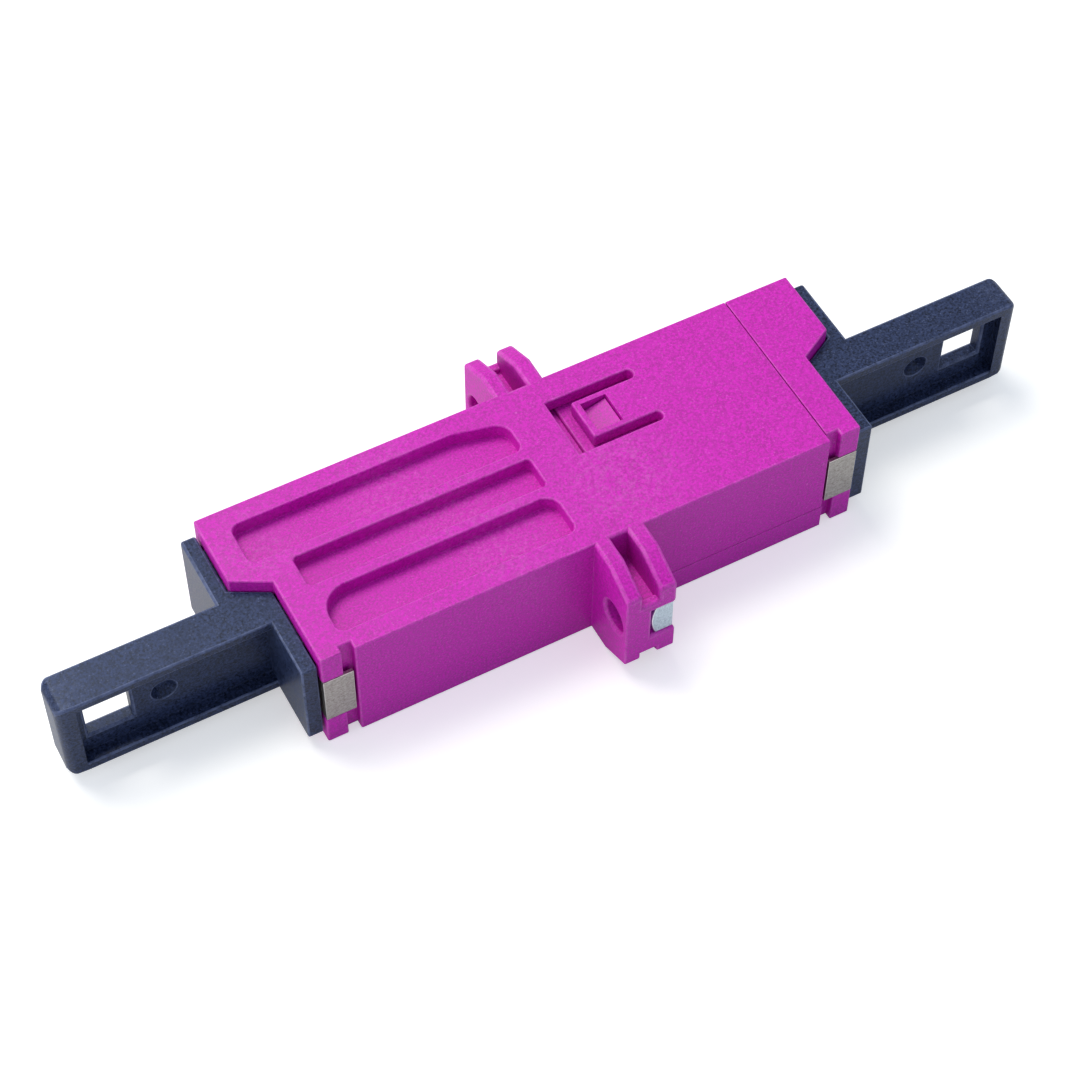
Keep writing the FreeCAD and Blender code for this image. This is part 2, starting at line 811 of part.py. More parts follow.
def write_parts(pieces):
    """Writes every piece, once the whole document is sound."""
    doc.recompute()
    for item in doc.Objects:
        if {"Invalid", "Error"} & set(item.State):
            raise RuntimeError(f"{item.Label} failed: {item.State}")
    for piece in pieces:
        shape = piece.Shape
        if shape.isNull() or not shape.isValid() or len(shape.Solids) != 1:
            raise RuntimeError(f"{piece.Label} isn't one sound solid")
    os.makedirs("parts", exist_ok=True)
    for piece in pieces:
        piece.Shape.exportStep(f"parts/{piece.Label}.step")
        print(f"{piece.Label}: {piece.Shape.Volume:.3f} mm3")


pieces = [
    make_housing(),
    make_end_insert(),
    make_sleeve(),
    make_holder("left", "partition_left"),
    make_holder("right", "partition_right"),
]
pieces += [make_threaded_insert(side) for side in SIDES]
for end in ENDS:
    pieces += [make_clip(end), make_pin(end), make_flap(end), make_spring(end), make_plug(end)]
write_parts(pieces)
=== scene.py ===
import json
import math

import bpy
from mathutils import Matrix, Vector

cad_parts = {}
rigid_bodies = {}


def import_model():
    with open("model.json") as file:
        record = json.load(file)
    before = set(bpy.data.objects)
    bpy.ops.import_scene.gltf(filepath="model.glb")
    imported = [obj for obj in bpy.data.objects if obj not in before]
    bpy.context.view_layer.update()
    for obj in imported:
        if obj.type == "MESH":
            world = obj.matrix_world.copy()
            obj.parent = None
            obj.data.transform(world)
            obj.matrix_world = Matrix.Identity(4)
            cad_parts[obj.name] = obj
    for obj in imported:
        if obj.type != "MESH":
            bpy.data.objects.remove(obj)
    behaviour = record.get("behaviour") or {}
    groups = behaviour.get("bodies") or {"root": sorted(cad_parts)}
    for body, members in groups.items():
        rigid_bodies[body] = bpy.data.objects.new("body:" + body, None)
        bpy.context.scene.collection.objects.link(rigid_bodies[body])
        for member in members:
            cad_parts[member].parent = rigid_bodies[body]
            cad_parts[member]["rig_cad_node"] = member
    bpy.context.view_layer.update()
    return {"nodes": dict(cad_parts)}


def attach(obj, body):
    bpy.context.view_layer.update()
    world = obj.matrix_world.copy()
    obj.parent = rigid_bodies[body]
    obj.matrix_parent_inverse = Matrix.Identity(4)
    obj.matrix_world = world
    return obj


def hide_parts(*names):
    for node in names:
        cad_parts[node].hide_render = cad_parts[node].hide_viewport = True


# A violet fibre optic adapter with a black dust plug in each socket, lying on a white table.

MM = 0.001

# Corners nearer than this are one corner, edges shorter than this are slivers, and corners this near
# a given place are at that place.
MERGE_DISTANCE = 0.002 * MM
SLIVER_LENGTH = 0.005 * MM
NEAR_PLACE = 0.02 * MM

# Widest rounding of the moulded edges and of the thin sheet and nuts, and how edges are told apart.
MOULDED_EDGE = 0.24 * MM
SHEET_EDGE = 0.04 * MM
SHARP_ANGLE = math.radians(30)
RUN_ON_ANGLE = math.radians(40)
EDGE_SHARE = 0.4

# Share of the widest rounding that edges get, by place, with the places' corners in millimetres.
# The ears and then the plugs' handles are the roundest, and the seams, the snap nub, its window and
# the handles' dents stay crisp.
USUAL_SHARE = 0.5
HOLLOW_SHARE = 0.12
SHARES = [
    (0.3, (16.2, -7, -1), (16.34, 7, 9)),
    (0.15, (3.0, -7, 1.95), (16.4, 7, 2.05)),
    (0.15, (3.05, -7, -1), (3.15, 7, 2.05)),
    (0.15, (4.0, 1.05, 7.5), (5.9, 3.45, 8.8)),
    (1.0, (-0.5, -10.7, 2.5), (3.2, -6.4, 8.8)),
    (1.0, (-0.5, 6.4, 2.5), (3.2, 10.7, 8.8)),
    (0.25, (25.5, -1.1, 3.35), (27.5, -0.2, 5.35)),
    (0.25, (-27.5, -1.1, 3.35), (-25.5, -0.2, 5.35)),
    (0.75, (20.95, -7, -1), (34, 7, 9)),
    (0.75, (-34, -7, -1), (-20.95, 7, 9)),
]

# Corners of the wedge between a plug's far flange and its handle, and the corner where both end up.
WEDGE_CORNERS = [(21.99, 1.4), (20.992, 0.85)]
WEDGE_TIP = (21.99, 0.85)

# Ledge of the housing below the front of the tongue's opening.
LEDGE_LOW = (1.45, -0.3, 7.05)
LEDGE_HIGH = (2.88, 4.8, 7.35)

# Dent in the near web of a handle: its middle, its radius, how much of its floor stays, and how
# much deeper the floor goes.
DENT_MIDDLE = (26.5, -0.58, 4.35)
DENT_RADIUS = 0.9
DENT_FLOOR = 0.55
DENT_DEEPER = 0.2

# Screw thread of a nut: its start on the axis, its pitch, turns, steps in a turn, the radius of its
# ridge, the radius of the bore that it stands in, and the place of the axis across and up.
THREAD_START = 1.75
THREAD_PITCH = 0.4
THREAD_TURNS = 2
THREAD_STEPS = 24
THREAD_RIDGE = 0.1
THREAD_BORE = 0.8
SCREW_PLACE = (9.0, 4.35)

# Height of the grain in the mouldings and of the streaks in the metal.
GRAIN_HEIGHT = 0.02 * MM
STREAK_HEIGHT = 0.01 * MM

# Table: its width in metres, how far it lies below the object, its colour, and its glow for every ray
# that is seen and for rays straight from the camera.
TABLE_WIDTH = 1.2
TABLE_DROP = 0.02 * MM
TABLE_COLOUR = (0.82, 0.82, 0.82, 1)
SEEN_GLOW = 0.2
CAMERA_GLOW = 0.28

# Light of the room, and the lamps' places in metres, widths, powers and colours.
ROOM_COLOUR = (0.74, 0.85, 1.0, 1)
ROOM_STRENGTH = 0.52
WHITE = (1, 1, 1, 1)
LAMPS = {
    "key": ((-0.08, 0.2, 0.42), 0.24, 1.5, (1.0, 0.95, 0.85)),
    "side": ((-0.34, 0.03, 0.07), 0.2, 0.4, (1.0, 0.97, 0.92)),
}

# Camera: its place in millimetres, its turn in degrees, its lens and its sensor.
CAMERA_PLACE = (-49.3716, -89.3815, 140.4348)
CAMERA_TURN = (36.385, -0.126, -28.213)
CAMERA_LENS = 92.177
CAMERA_SENSOR = 36

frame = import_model()


# Helpers for modelling


def pick(piece):
    """Leaves only this piece selected, and makes it the active one."""
    bpy.ops.object.select_all(action="DESELECT")
    piece.select_set(True)
    bpy.context.view_layer.objects.active = piece


def merge_corners(piece):
    """Joins the corners of the piece that lie in one place."""
    pick(piece)
    bpy.ops.object.mode_set(mode="EDIT")
    bpy.ops.mesh.select_all(action="SELECT")
    bpy.ops.mesh.remove_doubles(threshold=MERGE_DISTANCE)
    bpy.ops.object.mode_set(mode="OBJECT")


def copy_of(node, name):
    """A separate copy of a solid, with its loose triangles merged."""
    pick(frame["nodes"][node])
    bpy.ops.object.duplicate()
    piece = bpy.context.view_layer.objects.active
    piece.name = name
    piece.data.name = name
    del piece["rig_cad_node"]
    bpy.ops.mesh.customdata_custom_splitnormals_clear()
    merge_corners(piece)
    return piece


def select_parts(piece, mode, faces=(), corners=()):
    """Selects just these faces or corners of the piece, and goes into edit mode."""
    pick(piece)
    bpy.ops.object.mode_set(mode="EDIT")
    bpy.ops.mesh.select_mode(type=mode)
    bpy.ops.mesh.select_all(action="DESELECT")
    bpy.ops.object.mode_set(mode="OBJECT")
    for index in faces:
        piece.data.polygons[index].select = True
    for index in corners:
        piece.data.vertices[index].select = True
    bpy.ops.object.mode_set(mode="EDIT")


def sharp_edges(piece):
    """The edges between faces that meet at an angle."""
    select_parts(piece, "EDGE")
    bpy.ops.mesh.edges_select_sharp(sharpness=SHARP_ANGLE)
    bpy.ops.object.mode_set(mode="OBJECT")
    return [edge for edge in piece.data.edges if edge.select]


def runs_on(mesh, corner, first, second):
    """Whether two edges that meet in a corner go on almost straight."""
    ways = []
    for edge in (first, second):
        other = next(index for index in edge.vertices if index != corner)
        ways.append(mesh.vertices[other].co - mesh.vertices[corner].co)
    return ways[0].angle(-ways[1]) < RUN_ON_ANGLE


def room_at_corners(mesh, edges):
    """The length of the shortest unbroken run of edges that ends at or passes each corner."""
    meeting = {}
    for edge in edges:
        for corner in edge.vertices:
            meeting.setdefault(corner, []).append(edge)
    runs = {edge.index: [edge] for edge in edges}
    for corner, around in meeting.items():
        if len(around) == 2 and runs_on(mesh, corner, *around):
            kept, joined = (runs[edge.index] for edge in around)
            if kept is not joined:
                kept.extend(joined)
                for edge in joined:
                    runs[edge.index] = kept
    lengths = {}
    for edge in edges:
        ends = [mesh.vertices[index].co for index in edge.vertices]
        lengths[edge.index] = (ends[0] - ends[1]).length
    totals = {index: sum(lengths[edge.index] for edge in run) for index, run in runs.items()}
    return {corner: min(totals[edge.index] for edge in around) for corner, around in meeting.items()}


def faces_by_edge(mesh):
    """The numbers of the faces beside each edge."""
    beside = {}
    for face in mesh.polygons:
        for key in face.edge_keys:
            beside.setdefault(key, []).append(face.index)
    return beside


def share_of(mesh, edge):
    """The share of the widest rounding at the place that an edge lies in."""
    ends = [mesh.vertices[index].co / MM for index in edge.vertices]
    for share, low, high in SHARES:
        if all(low[axis] <= end[axis] <= high[axis] for end in ends for axis in range(3)):
            return share
    return USUAL_SHARE


def weigh_edges(piece, width):
    """Marks the sharp edges for rounding, and less of it where there is little room or a seam."""
    edges = sharp_edges(piece)
    mesh = piece.data
    beside = faces_by_edge(mesh)
    room = room_at_corners(mesh, edges)
    weights = mesh.attributes.new("bevel_weight_edge", "FLOAT", "EDGE")
    for edge in edges:
        space = min(room[corner] for corner in edge.vertices)
        share = share_of(mesh, edge) if width == MOULDED_EDGE else 1
        first, second = (mesh.polygons[index] for index in beside[edge.key])
        if first.normal.dot(second.center - first.center) > 0:
            share = min(share, HOLLOW_SHARE)
        weights.data[edge.index].value = min(share, EDGE_SHARE * space / width)


def favour_flats(piece):
    """Lets the faces that were there before rule the shading beside the rounded ones."""
    faces = [face.index for face in piece.data.polygons if not face.material_index]
    select_parts(piece, "FACE", faces=faces)
    bpy.ops.mesh.mod_weighted_strength(set=True, face_strength="STRONG")
    bpy.ops.object.mode_set(mode="OBJECT")


def mark_outer_edges(mesh):
    """Marks the rounded faces of outer edges, which stand proud of the faces beside them."""
    beside = faces_by_edge(mesh)
    edge_mask = mesh.attributes.new("edge", "FLOAT", "FACE")
    rounded = [face for face in mesh.polygons if face.material_index]
    for face in rounded:
        rise = 0
        for key in face.edge_keys:
            for other in beside[key]:
                rise += face.normal.dot(mesh.polygons[other].center - face.center)
        edge_mask.data[face.index].value = 1 if rise < 0 else 0
    for face in rounded:
        face.material_index = 0


def round_edges(piece, width, segments):
    """Rounds the sharp edges, marks the outer ones and smooths the shading."""
    weigh_edges(piece, width)
    piece.data.materials.append(None)
    bevel = piece.modifiers.new("Rounding", "BEVEL")
    bevel.limit_method = "WEIGHT"
    bevel.width = width
    bevel.segments = segments
    bevel.use_clamp_overlap = False
    bevel.loop_slide = False
    bevel.material = 1
    bpy.ops.object.modifier_apply(modifier=bevel.name)
    favour_flats(piece)
    mark_outer_edges(piece.data)
    piece.data.materials.pop(index=1)
    bpy.ops.object.shade_smooth_by_angle(angle=RUN_ON_ANGLE, keep_sharp_edges=False)
    normals = piece.modifiers.new("Even shading", "WEIGHTED_NORMAL")
    normals.mode = "CORNER_ANGLE"
    normals.keep_sharp = True
    normals.use_face_influence = True
    bpy.ops.object.modifier_apply(modifier=normals.name)


def hand_over(piece, node, body, finish):
    """Puts the piece in its node's place, on the node's body, with its finish."""
    piece.data.materials[0] = finish
    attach(piece, body)
    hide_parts(node)


def add_block(name, low, high):
    """A plain block between two corners given in millimetres."""
    bpy.ops.object.select_all(action="DESELECT")
    middle = (Vector(low) + Vector(high)) / 2 * MM
    bpy.ops.mesh.primitive_cube_add(size=1, location=middle, scale=(Vector(high) - Vector(low)) * MM)
    block = bpy.context.view_layer.objects.active
    block.name = name
    block.data.name = name
    bpy.ops.object.transform_apply(location=True, rotation=True, scale=True)
    return block


def fill_wedge(plug, sign):
    """Closes the wedge between the far flange and the handle, as on the moulding in the photograph."""
    tip = Vector((sign * WEDGE_TIP[0], WEDGE_TIP[1])) * MM
    for x, y in WEDGE_CORNERS:
        place = Vector((sign * x, y)) * MM
        upright = []
        for corner in plug.data.vertices:
            if (corner.co.xy - place).length < NEAR_PLACE:
                upright.append(corner.index)
        select_parts(plug, "VERT", corners=upright)
        bpy.ops.transform.translate(value=(*(tip - place), 0))
        bpy.ops.object.mode_set(mode="OBJECT")
    merge_corners(plug)
    bpy.ops.object.mode_set(mode="EDIT")
    bpy.ops.mesh.select_all(action="SELECT")
    bpy.ops.mesh.dissolve_degenerate(threshold=SLIVER_LENGTH)
    bpy.ops.object.mode_set(mode="OBJECT")


def narrow_dent(plug, sign):
    """Draws the floor of the dent in the handle's near web together and deeper, so that its wall slopes."""
    x, y, z = DENT_MIDDLE
    middle = Vector((sign * x, y, z)) * MM
    floor = []
    for corner in plug.data.vertices:
        away = corner.co - middle
        if abs(away.y) < NEAR_PLACE and math.hypot(away.x, away.z) < DENT_RADIUS * MM:
            floor.append(corner.index)
    select_parts(plug, "VERT", corners=floor)
    bpy.ops.transform.resize(value=(DENT_FLOOR, 1, DENT_FLOOR), center_override=middle)
    bpy.ops.transform.translate(value=(0, DENT_DEEPER * MM, 0))
    bpy.ops.object.mode_set(mode="OBJECT")


def make_thread(name, sign):
    """The ridge of the screw thread in a nut's bore."""
    y, z = SCREW_PLACE
    bpy.ops.object.select_all(action="DESELECT")
    start = Vector((THREAD_START, sign * y, z)) * MM
    upright = (math.radians(-90), 0, 0)
    bpy.ops.mesh.primitive_circle_add(vertices=3, radius=THREAD_RIDGE * MM, location=start, rotation=upright)
    ridge = bpy.context.view_layer.objects.active
    ridge.name = name
    ridge.data.name = name
    bpy.ops.object.transform_apply(location=False, rotation=True, scale=False)
    bpy.ops.object.mode_set(mode="EDIT")
    bpy.ops.mesh.select_all(action="SELECT")
    bpy.ops.transform.translate(value=(0, 0, THREAD_BORE * MM))
    bpy.ops.object.mode_set(mode="OBJECT")
    screw = ridge.modifiers.new("Thread", "SCREW")
    screw.axis = "X"
    screw.screw_offset = THREAD_PITCH * MM
    screw.iterations = THREAD_TURNS
    screw.steps = THREAD_STEPS
    screw.render_steps = THREAD_STEPS
    bpy.ops.object.modifier_apply(modifier=screw.name)
    bpy.ops.object.mode_set(mode="EDIT")
    bpy.ops.mesh.select_all(action="SELECT")
    bpy.ops.mesh.remove_doubles(threshold=MERGE_DISTANCE)
    bpy.ops.mesh.fill_holes(sides=3)
    bpy.ops.mesh.normals_make_consistent(inside=False)
    bpy.ops.object.mode_set(mode="OBJECT")
    bpy.ops.object.transform_apply(location=True, rotation=True, scale=True)
    bpy.ops.object.shade_smooth_by_angle(angle=RUN_ON_ANGLE, keep_sharp_edges=False)
    return ridge


# Helpers for finishes


def add(tree, kind, inputs=None, **settings):
    """A new node with its settings, and with its inputs set or linked."""
    node = tree.nodes.new(kind)
    for name, value in settings.items():
        setattr(node, name, value)
    for name, value in (inputs or {}).items():
        if hasattr(value, "is_output"):
            tree.links.new(value, node.inputs[name])
        else:
            node.inputs[name].default_value = value
    return node


def math_node(tree, operation, first, second):
    return add(tree, "ShaderNodeMath", {0: first, 1: second}, operation=operation).outputs[0]


def blend_colours(tree, share, first, second):
    inputs = {0: share, 6: first, 7: second}
    return add(tree, "ShaderNodeMix", inputs, data_type="RGBA").outputs[2]


def span(tree, value, low, high, start=0.0, end=1.0):
    """The value's stretch from low to high, carried onto start to end and held there."""
    inputs = {0: value, 1: low, 2: high, 3: start, 4: end}
    return add(tree, "ShaderNodeMapRange", inputs).outputs[0]


def millimetres(tree):
    """The place on the piece, in millimetres."""
    place = add(tree, "ShaderNodeTexCoord").outputs["Object"]
    return add(tree, "ShaderNodeVectorMath", {0: place, "Scale": 1 / MM}, operation="SCALE").outputs[0]


def noise(tree, place, scale, detail, roughness):
    inputs = {"Vector": place, "Scale": scale, "Detail": detail, "Roughness": roughness}
    return add(tree, "ShaderNodeTexNoise", inputs).outputs[0]


def near_spots(tree, spots):
    """One at the middle of any of the spots, given as x, y, z and radius, and nothing outside them."""
    place = millimetres(tree)
    strongest = None
    for x, y, z, radius in spots:
        inputs = {0: place, 1: (x, y, z)}
        away = add(tree, "ShaderNodeVectorMath", inputs, operation="DISTANCE").outputs["Value"]
        near = span(tree, away, radius, 0.35 * radius)
        strongest = near if strongest is None else math_node(tree, "MAXIMUM", strongest, near)
    return strongest


def new_group(name, inputs, outputs):
    """An empty shader group with number sockets, and its two ends."""
    group = bpy.data.node_groups.new(name, "ShaderNodeTree")
    for label, value in inputs.items():
        socket = group.interface.new_socket(label, in_out="INPUT", socket_type="NodeSocketFloat")
        socket.default_value = value
    for label in outputs:
        group.interface.new_socket(label, in_out="OUTPUT", socket_type="NodeSocketFloat")
    return group, add(group, "NodeGroupInput").outputs, add(group, "NodeGroupOutput").inputs


def make_moulded_grain():
    """Fine pebbled texture of a spark-eroded mould, with slow changes of shade."""
    inputs = {"Grains per mm": 5.0, "Clouds per mm": 0.35}
    group, given, result = new_group("Moulded grain", inputs, ["Grain", "Cloud", "Speck"])
    place = millimetres(group)
    grain = noise(group, place, given["Grains per mm"], 3.0, 0.7)
    cloud = noise(group, place, given["Clouds per mm"], 3.0, 0.55)
    cells = add(group, "ShaderNodeTexVoronoi", {"Vector": place, "Scale": given["Grains per mm"]})
    chosen = span(group, cells.outputs["Color"], 0.5, 0.95)
    speck = span(group, cells.outputs["Distance"], 0.45, 0.1)
    group.links.new(grain, result["Grain"])
    group.links.new(cloud, result["Cloud"])
    group.links.new(math_node(group, "MULTIPLY", speck, chosen), result["Speck"])
    return group


def make_worn_and_highlit_edges():
    """Where the rounded outer edges are painted paler, in broken stretches: partly wear from handling,
    partly a painted highlight on the rounding.
    """
    group, given, result = new_group("Worn and highlit edges", {"Amount": 0.5}, ["Mask"])
    place = millimetres(group)
    edge = add(group, "ShaderNodeAttribute", attribute_name="edge").outputs["Fac"]
    broken = span(group, noise(group, place, 1.4, 4.0, 0.6), 0.35, 0.62, 0.3, 1.0)
    worn_and_highlit = math_node(group, "MULTIPLY", edge, broken)
    group.links.new(math_node(group, "MULTIPLY", worn_and_highlit, given["Amount"]), result["Mask"])
    return group


def make_scuffs_and_highlights():
    """Pale patches, partly rubbing and partly painted highlight, and a few specks of dust."""
    group, given, result = new_group("Scuffs and highlights", {"Amount": 0.5}, ["Rubbed", "Dust"])
    place = millimetres(group)
    rubbed_and_highlit = span(group, noise(group, place, 2.6, 6.0, 0.8), 0.46, 0.7)
    cells = add(group, "ShaderNodeTexVoronoi", {"Vector": place, "Scale": 0.45})
    speck = span(group, cells.outputs["Distance"], 0.045, 0.02)
    group.links.new(math_node(group, "MULTIPLY", rubbed_and_highlit, given["Amount"]), result["Rubbed"])
    group.links.new(math_node(group, "MULTIPLY", speck, given["Amount"]), result["Dust"])
    return group


MOULDED_GRAIN = make_moulded_grain()
# Paler outer edges: partly wear, partly a painted highlight.
WORN_AND_HIGHLIT_EDGES = make_worn_and_highlit_edges()
# Pale patches that are partly rubbing and partly painted highlight, and specks of dust.
SCUFFS_AND_HIGHLIGHTS = make_scuffs_and_highlights()


def use_group(tree, group, inputs):
    return add(tree, "ShaderNodeGroup", inputs, node_tree=group).outputs


def new_finish(name, gloss):
    """A material with only its surface shader, which is handed back with the node tree."""
    material = bpy.data.materials.new(name)
    material.use_nodes = True
    tree = material.node_tree
    tree.nodes.clear()
    surface = add(tree, "ShaderNodeBsdfPrincipled", gloss)
    add(tree, "ShaderNodeOutputMaterial", {"Surface": surface.outputs[0]})
    return material, tree, surface.inputs


def bump(tree, height, strength, depth):
    inputs = {"Height": height, "Strength": strength, "Distance": depth}
    return add(tree, "ShaderNodeBump", inputs).outputs[0]


def moulded_plastic(name, colours, gloss, grain, scuff_and_highlight, wear_and_highlight, rough, rubbed_and_highlit_spots):
    """A textured moulding: body colour with grain, slow clouds, pale spots that are partly rubbing and
    partly painted highlight, dust, and pale outer edges that are partly wear and partly painted highlight.
    """
    material, tree, surface = new_finish(name, gloss)
    texture = use_group(tree, MOULDED_GRAIN, {"Grains per mm": grain})
    rubs_and_highlights = use_group(tree, SCUFFS_AND_HIGHLIGHTS, {"Amount": scuff_and_highlight})
    # Outer edges painted paler: partly wear, partly a painted highlight.
    worn_and_highlit = use_group(tree, WORN_AND_HIGHLIT_EDGES, {"Amount": wear_and_highlight})["Mask"]
    grained = span(tree, texture["Grain"], 0.37, 0.63)
    base = blend_colours(tree, grained, colours["dark"], colours["light"])
    clouded = span(tree, texture["Cloud"], 0.35, 0.7, 0.0, 0.3)
    base = blend_colours(tree, clouded, base, colours["cloud"])
    sparkle = math_node(tree, "MULTIPLY", texture["Speck"], colours["sparkle"])
    base = blend_colours(tree, sparkle, base, colours["pale"])
    # Pale patches kept to the given spots: partly rubbing, partly a painted highlight.
    rubbed_and_highlit = math_node(tree, "MULTIPLY", rubs_and_highlights["Rubbed"], near_spots(tree, rubbed_and_highlit_spots))
    marks = math_node(tree, "MAXIMUM", rubbed_and_highlit, rubs_and_highlights["Dust"])
    marks = math_node(tree, "MAXIMUM", marks, worn_and_highlit)
    base = blend_colours(tree, marks, base, colours["pale"])
    tree.links.new(base, surface["Base Color"])
    tree.links.new(span(tree, texture["Grain"], 0.3, 0.7, *rough), surface["Roughness"])
    tree.links.new(bump(tree, texture["Grain"], 0.4, GRAIN_HEIGHT), surface["Normal"])
    return material


def metal(name, dark, light, rough, brushed):
    """Sheet or plated metal: fine lengthwise streaks and a speckled, slightly tarnished face."""
    material, tree, surface = new_finish(name, {"Metallic": 1.0})
    texture = use_group(tree, MOULDED_GRAIN, {"Grains per mm": 6.0, "Clouds per mm": 1.2})
    worn_and_highlit = use_group(tree, WORN_AND_HIGHLIT_EDGES, {"Amount": 0.6})["Mask"]
    streaks = add(tree, "ShaderNodeMapping", {"Vector": millimetres(tree), "Scale": brushed})
    lines = noise(tree, streaks.outputs[0], 4.0, 3.0, 0.6)
    mixed = math_node(tree, "ADD", texture["Grain"], lines)
    base = blend_colours(tree, span(tree, mixed, 0.75, 1.25), dark, light)
    # Outer edges painted paler: partly wear, partly a painted highlight on the metal.
    base = blend_colours(tree, worn_and_highlit, base, (0.9, 0.9, 0.88, 1))
    tree.links.new(base, surface["Base Color"])
    tree.links.new(span(tree, mixed, 0.7, 1.3, *rough), surface["Roughness"])
    tree.links.new(bump(tree, mixed, 0.25, STREAK_HEIGHT), surface["Normal"])
    return material


VIOLET = moulded_plastic(
    "violet_moulding",
    {
        "dark": (0.4, 0.001, 0.3, 1),
        "light": (0.72, 0.006, 0.56, 1),
        "cloud": (0.6, 0.008, 0.47, 1),
        "pale": (0.8, 0.26, 0.7, 1),
        "sparkle": 0.28,
    },
    {"Specular IOR Level": 0.4},
    grain=6.5,
    scuff_and_highlight=0.28,
    wear_and_highlight=0.2,
    rough=(0.4, 0.6),
    # Where the pale patches go. The two on the ears' crests are a painted highlight at the bend.
    rubbed_and_highlit_spots=[
        (3.5, -2.6, 8.7, 5.0),
        (-5.0, -3.4, 7.7, 4.5),
        (-7.0, 0.0, 7.7, 4.5),
        (-9.0, 3.4, 7.7, 4.5),
        (-18.0, 3.0, 8.7, 3.5),
        (1.3, -8.2, 8.6, 1.2),
        (1.3, 8.2, 8.6, 1.2),
    ],
)
BLACK = moulded_plastic(
    "plug_moulding",
    {
        "dark": (0.003, 0.005, 0.014, 1),
        "light": (0.04, 0.058, 0.14, 1),
        "cloud": (0.014, 0.022, 0.058, 1),
        "pale": (0.2, 0.24, 0.42, 1),
        "sparkle": 0.4,
    },
    {"Specular IOR Level": 0.24, "Specular Tint": (0.6, 0.72, 1.0, 1)},
    grain=6.5,
    scuff_and_highlight=0.25,
    wear_and_highlight=0.45,
    rough=(0.26, 0.42),
    # Pale patches at the handles' ends: partly rubbing, partly a painted highlight on the end.
    rubbed_and_highlit_spots=[(-32.9, -0.5, 7.6, 2.5), (32.9, -0.5, 7.6, 2.5)],
)
STEEL = metal(
    "shutter_steel", (0.24, 0.22, 0.195, 1), (0.5, 0.48, 0.46, 1), (0.3, 0.5), (1.0, 1.0, 6.0)
)
PLATED = metal(
    "plated_insert", (0.36, 0.46, 0.52, 1), (0.62, 0.74, 0.8, 1), (0.24, 0.4), (6.0, 1.0, 1.0)
)
CERAMIC = moulded_plastic(
    "ceramic",
    {
        "dark": (0.78, 0.76, 0.7, 1),
        "light": (0.86, 0.84, 0.79, 1),
        "cloud": (0.82, 0.8, 0.74, 1),
        "pale": (0.92, 0.91, 0.88, 1),
        "sparkle": 0.05,
    },
    {"Specular IOR Level": 0.5},
    grain=8.0,
    scuff_and_highlight=0.1,
    wear_and_highlight=0.0,
    rough=(0.16, 0.24),
    rubbed_and_highlit_spots=[(-5.7, 0.0, 4.35, 1.8), (5.7, 0.0, 4.35, 1.8)],
)
HOLDER = moulded_plastic(
    "holder_moulding",
    {
        "dark": (0.55, 0.54, 0.49, 1),
        "light": (0.68, 0.67, 0.62, 1),
        "cloud": (0.6, 0.59, 0.54, 1),
        "pale": (0.8, 0.79, 0.76, 1),
        "sparkle": 0.08,
    },
    {"Specular IOR Level": 0.4},
    grain=6.0,
    scuff_and_highlight=0.2,
    wear_and_highlight=0.0,
    rough=(0.4, 0.55),
    rubbed_and_highlit_spots=[(-6.4, 0.0, 4.35, 2.4), (6.4, 0.0, 4.35, 2.4)],
)


# Pieces

housing = copy_of("housing_body", "housing")
round_edges(housing, MOULDED_EDGE, 3)
hand_over(housing, "housing_body", "adapter", VIOLET)

end_piece = copy_of("end_insert", "end_piece")
round_edges(end_piece, MOULDED_EDGE, 3)
hand_over(end_piece, "end_insert", "adapter", VIOLET)

ledge = add_block("opening_ledge", LEDGE_LOW, LEDGE_HIGH)
ledge.data.materials.append(VIOLET)
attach(ledge, "adapter")

for end, sign in (("left", -1), ("right", 1)):
    plug = copy_of(f"{end}_dust_plug", f"{end}_plug_body")
    fill_wedge(plug, sign)
    narrow_dent(plug, sign)
    round_edges(plug, MOULDED_EDGE, 3)
    hand_over(plug, f"{end}_dust_plug", f"{end}_plug", BLACK)
    clip = copy_of(f"{end}_shutter_clip", f"{end}_clip")
    round_edges(clip, SHEET_EDGE, 2)
    hand_over(clip, f"{end}_shutter_clip", "adapter", STEEL)
    flap = copy_of(f"{end}_shutter_flap", f"{end}_flap")
    round_edges(flap, SHEET_EDGE, 2)
    hand_over(flap, f"{end}_shutter_flap", f"{end}_shutter", STEEL)

for side, sign in (("near", -1), ("far", 1)):
    nut = copy_of(f"threaded_insert_{side}", f"{side}_nut")
    round_edges(nut, SHEET_EDGE, 2)
    hand_over(nut, f"threaded_insert_{side}", "adapter", PLATED)
    thread = make_thread(f"{side}_nut_thread", sign)
    thread.data.materials.append(PLATED)
    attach(thread, "adapter")

KEPT = {
    "alignment_sleeve": CERAMIC,
    "sleeve_holder_left": HOLDER,
    "sleeve_holder_right": HOLDER,
    "left_shutter_pin": STEEL,
    "right_shutter_pin": STEEL,
    "left_shutter_spring": STEEL,
    "right_shutter_spring": STEEL,
}
for node, finish in KEPT.items():
    frame["nodes"][node].material_slots[0].material = finish


# Table, light and camera


def seen_rays(tree):
    """One for rays from the camera, straight, mirrored or through glass, and nothing for the rest."""
    rays = add(tree, "ShaderNodeLightPath").outputs
    seen = math_node(tree, "MAXIMUM", rays["Is Camera Ray"], rays["Is Glossy Ray"])
    return math_node(tree, "MAXIMUM", seen, rays["Is Transmission Ray"])


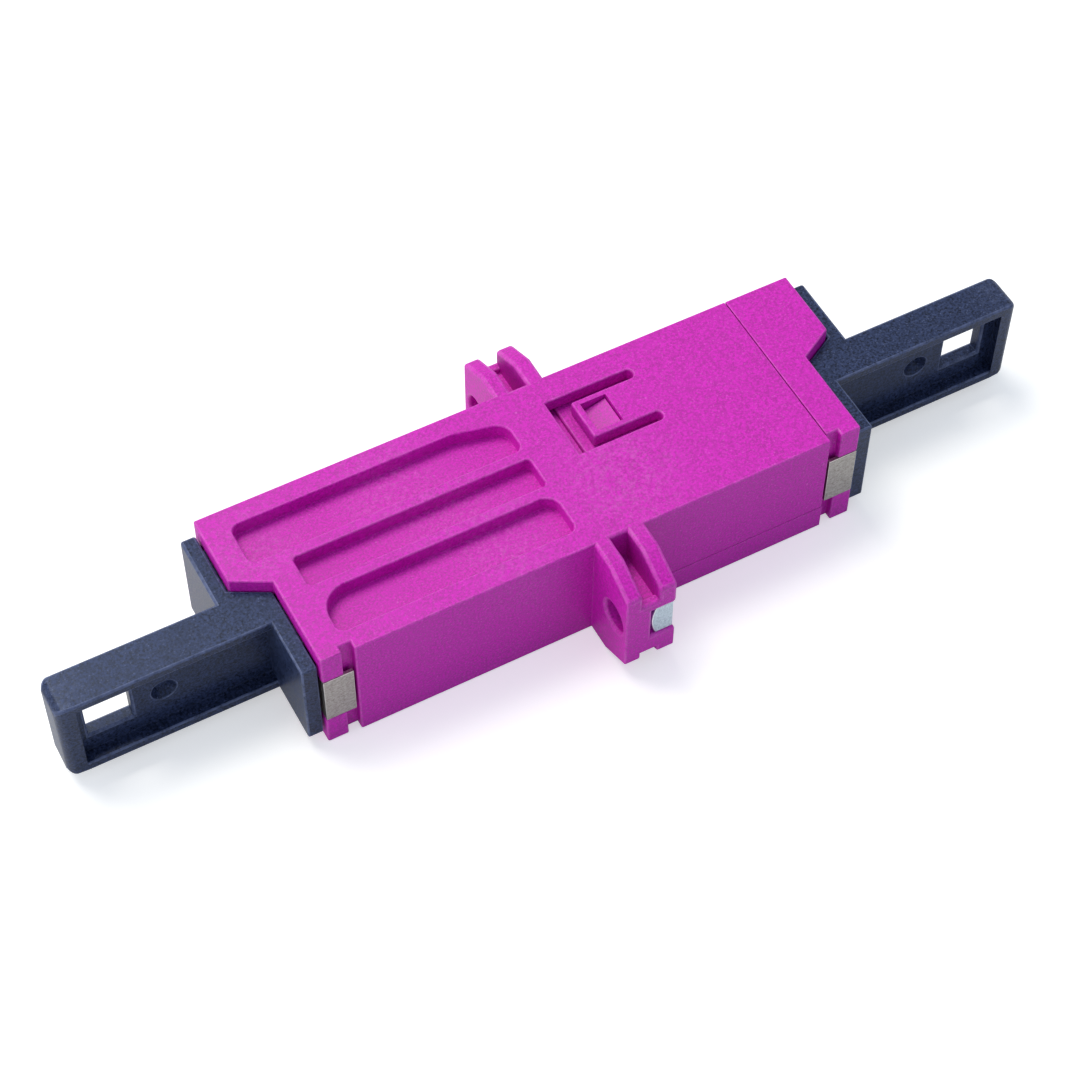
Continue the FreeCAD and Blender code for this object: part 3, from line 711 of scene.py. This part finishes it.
def make_table():
    """A table, a hair below the object, that looks evenly white to the camera and keeps a soft shadow."""
    bpy.ops.object.select_all(action="DESELECT")
    bpy.ops.mesh.primitive_plane_add(size=TABLE_WIDTH, location=(0, 0, -TABLE_DROP))
    table = bpy.context.view_layer.objects.active
    table.name = "table"
    material = bpy.data.materials.new("white_table")
    material.use_nodes = True
    tree = material.node_tree
    tree.nodes.clear()
    seen = math_node(tree, "MULTIPLY", seen_rays(tree), SEEN_GLOW)
    straight = add(tree, "ShaderNodeLightPath").outputs["Is Camera Ray"]
    straight = math_node(tree, "MULTIPLY", straight, CAMERA_GLOW)
    glow = math_node(tree, "ADD", seen, straight)
    lit = add(tree, "ShaderNodeBsdfDiffuse", {"Color": TABLE_COLOUR})
    white = add(tree, "ShaderNodeEmission", {"Color": WHITE, "Strength": glow})
    both = add(tree, "ShaderNodeAddShader", {0: lit.outputs[0], 1: white.outputs[0]})
    add(tree, "ShaderNodeOutputMaterial", {"Surface": both.outputs[0]})
    table.data.materials.append(material)


def light_room():
    """A cool, even studio, white where it is looked at."""
    world = bpy.data.worlds.new("studio")
    world.use_nodes = True
    tree = world.node_tree
    tree.nodes.clear()
    soft = add(tree, "ShaderNodeBackground", {"Color": ROOM_COLOUR, "Strength": ROOM_STRENGTH})
    white = add(tree, "ShaderNodeBackground", {"Color": WHITE, "Strength": 1.0})
    inputs = {0: seen_rays(tree), 1: soft.outputs[0], 2: white.outputs[0]}
    mixed = add(tree, "ShaderNodeMixShader", inputs)
    add(tree, "ShaderNodeOutputWorld", {"Surface": mixed.outputs[0]})
    bpy.context.scene.world = world


def add_lamp(name, place, size, power, colour):
    """A square lamp that looks at the middle of the object."""
    bpy.ops.object.light_add(type="AREA", location=place)
    lamp = bpy.context.view_layer.objects.active
    lamp.name = name
    lamp.data.size = size
    lamp.data.energy = power
    lamp.data.color = colour
    lamp.rotation_euler = (-Vector(place)).to_track_quat("-Z", "Y").to_euler()


def place_camera():
    """The camera at the photograph's viewing angle."""
    place = [value * MM for value in CAMERA_PLACE]
    turn = [math.radians(value) for value in CAMERA_TURN]
    bpy.ops.object.camera_add(location=place, rotation=turn)
    camera = bpy.context.view_layer.objects.active
    camera.data.sensor_width = CAMERA_SENSOR
    camera.data.lens = CAMERA_LENS
    camera.data.clip_start = 0.01
    bpy.context.scene.camera = camera


make_table()
light_room()
for lamp_name, lamp_values in LAMPS.items():
    add_lamp(lamp_name, *lamp_values)
place_camera()
bpy.context.scene.view_settings.view_transform = "Standard"
